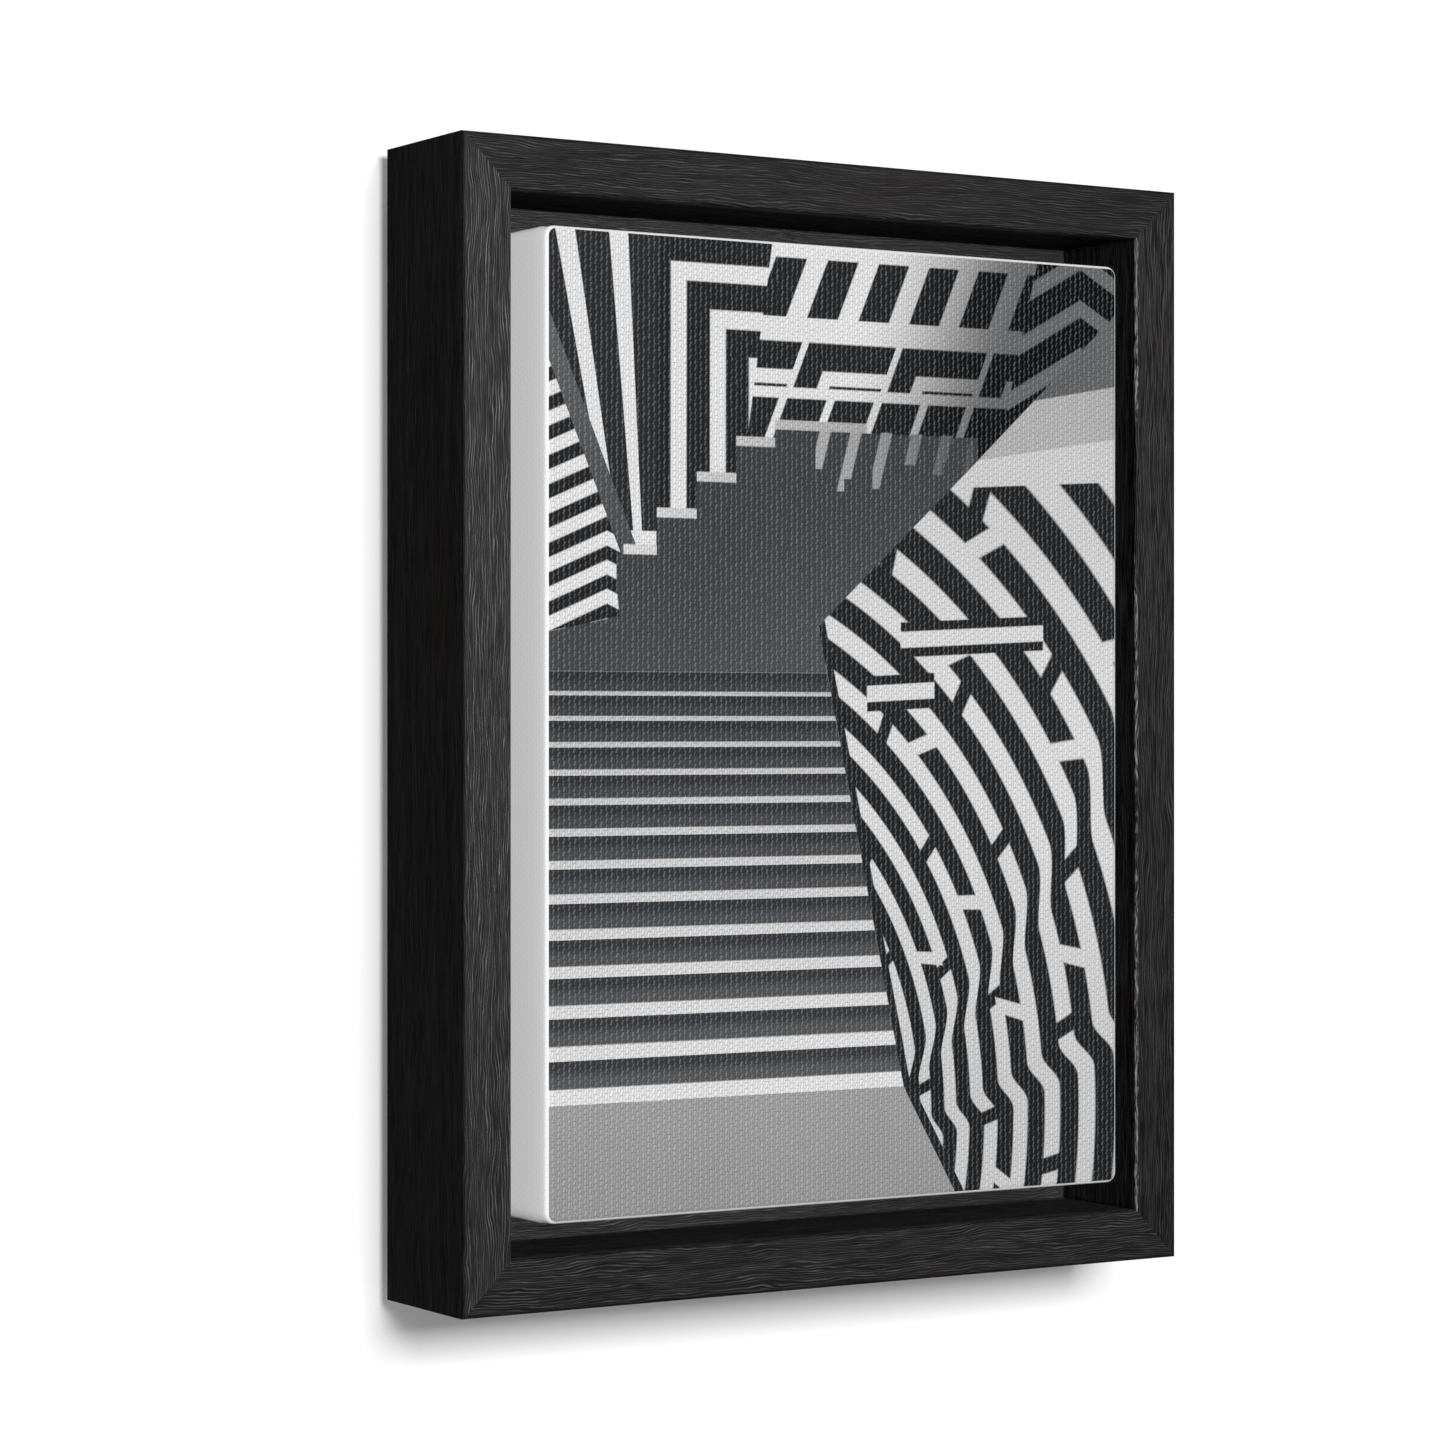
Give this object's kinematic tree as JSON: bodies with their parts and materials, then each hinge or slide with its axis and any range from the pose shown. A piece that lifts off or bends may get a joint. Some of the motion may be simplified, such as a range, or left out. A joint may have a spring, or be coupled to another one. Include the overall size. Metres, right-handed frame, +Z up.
{
  "type": "stretched canvas in a floater frame",
  "caption": "Small upright canvas wrapped round keyed wooden stretcher bars, set with an even gap inside an open-fronted black wooden floater frame, with a sawtooth hanger on the back.",
  "frame": {"origin": "middle of the frame's underside, half way through the frame's depth, where it stands on a shelf", "axes": "+Z up the frame's height, +Y out of the back towards the wall, so the picture faces -Y, and +X to the right as seen from the front"},
  "size_m": [0.1586, 0.0344, 0.2094],
  "materials": {
    "black_frame_wood": "black stain over open grain, satin",
    "primed_canvas": "plain-weave cotton, white primer, matt",
    "pine_bar": "planed, unfinished",
    "beech_key": "sawn, unfinished",
    "zinc_steel": "zinc plated",
    "staple_steel": "bright wire",
    "black_screw_steel": "black phosphate",
    "bumper_rubber": "matt"
  },
  "bodies": {
    "framed_canvas": {"frame_rail_bottom": "black_frame_wood", "frame_rail_right": "black_frame_wood", "frame_rail_top": "black_frame_wood", "frame_rail_left": "black_frame_wood", "corner_v_nails": "zinc_steel", "stretcher_bar_bottom": "pine_bar", "stretcher_bar_right": "pine_bar", "stretcher_bar_top": "pine_bar", "stretcher_bar_left": "pine_bar", "canvas": "primed_canvas", "canvas_staples": "staple_steel", "mounting_screws": "black_screw_steel", "sawtooth_hanger": "zinc_steel", "hanger_nails": "zinc_steel", "wall_bumpers": "bumper_rubber"},
    "key_bottom_right": {"key_bottom_right": "beech_key"},
    "key_bottom_left": {"key_bottom_left": "beech_key"},
    "key_right_top": {"key_right_top": "beech_key"},
    "key_right_bottom": {"key_right_bottom": "beech_key"},
    "key_top_left": {"key_top_left": "beech_key"},
    "key_top_right": {"key_top_right": "beech_key"},
    "key_left_bottom": {"key_left_bottom": "beech_key"},
    "key_left_top": {"key_left_top": "beech_key"}
  },
  "joints": [
    {"name": "key_bottom_right_slide", "type": "slide", "parent": "framed_canvas", "child": "key_bottom_right", "axis": [0, 0, 1], "range_m": [0, 0.014]},
    {"name": "key_bottom_left_slide", "type": "slide", "parent": "framed_canvas", "child": "key_bottom_left", "axis": [0, 0, 1], "range_m": [0, 0.014]},
    {"name": "key_right_top_slide", "type": "slide", "parent": "framed_canvas", "child": "key_right_top", "axis": [-1, 0, 0], "range_m": [0, 0.014]},
    {"name": "key_right_bottom_slide", "type": "slide", "parent": "framed_canvas", "child": "key_right_bottom", "axis": [-1, 0, 0], "range_m": [0, 0.014]},
    {"name": "key_top_left_slide", "type": "slide", "parent": "framed_canvas", "child": "key_top_left", "axis": [0, 0, -1], "range_m": [0, 0.014]},
    {"name": "key_top_right_slide", "type": "slide", "parent": "framed_canvas", "child": "key_top_right", "axis": [0, 0, -1], "range_m": [0, 0.014]},
    {"name": "key_left_bottom_slide", "type": "slide", "parent": "framed_canvas", "child": "key_left_bottom", "axis": [1, 0, 0], "range_m": [0, 0.014]},
    {"name": "key_left_top_slide", "type": "slide", "parent": "framed_canvas", "child": "key_left_top", "axis": [1, 0, 0], "range_m": [0, 0.014]}
  ]
}
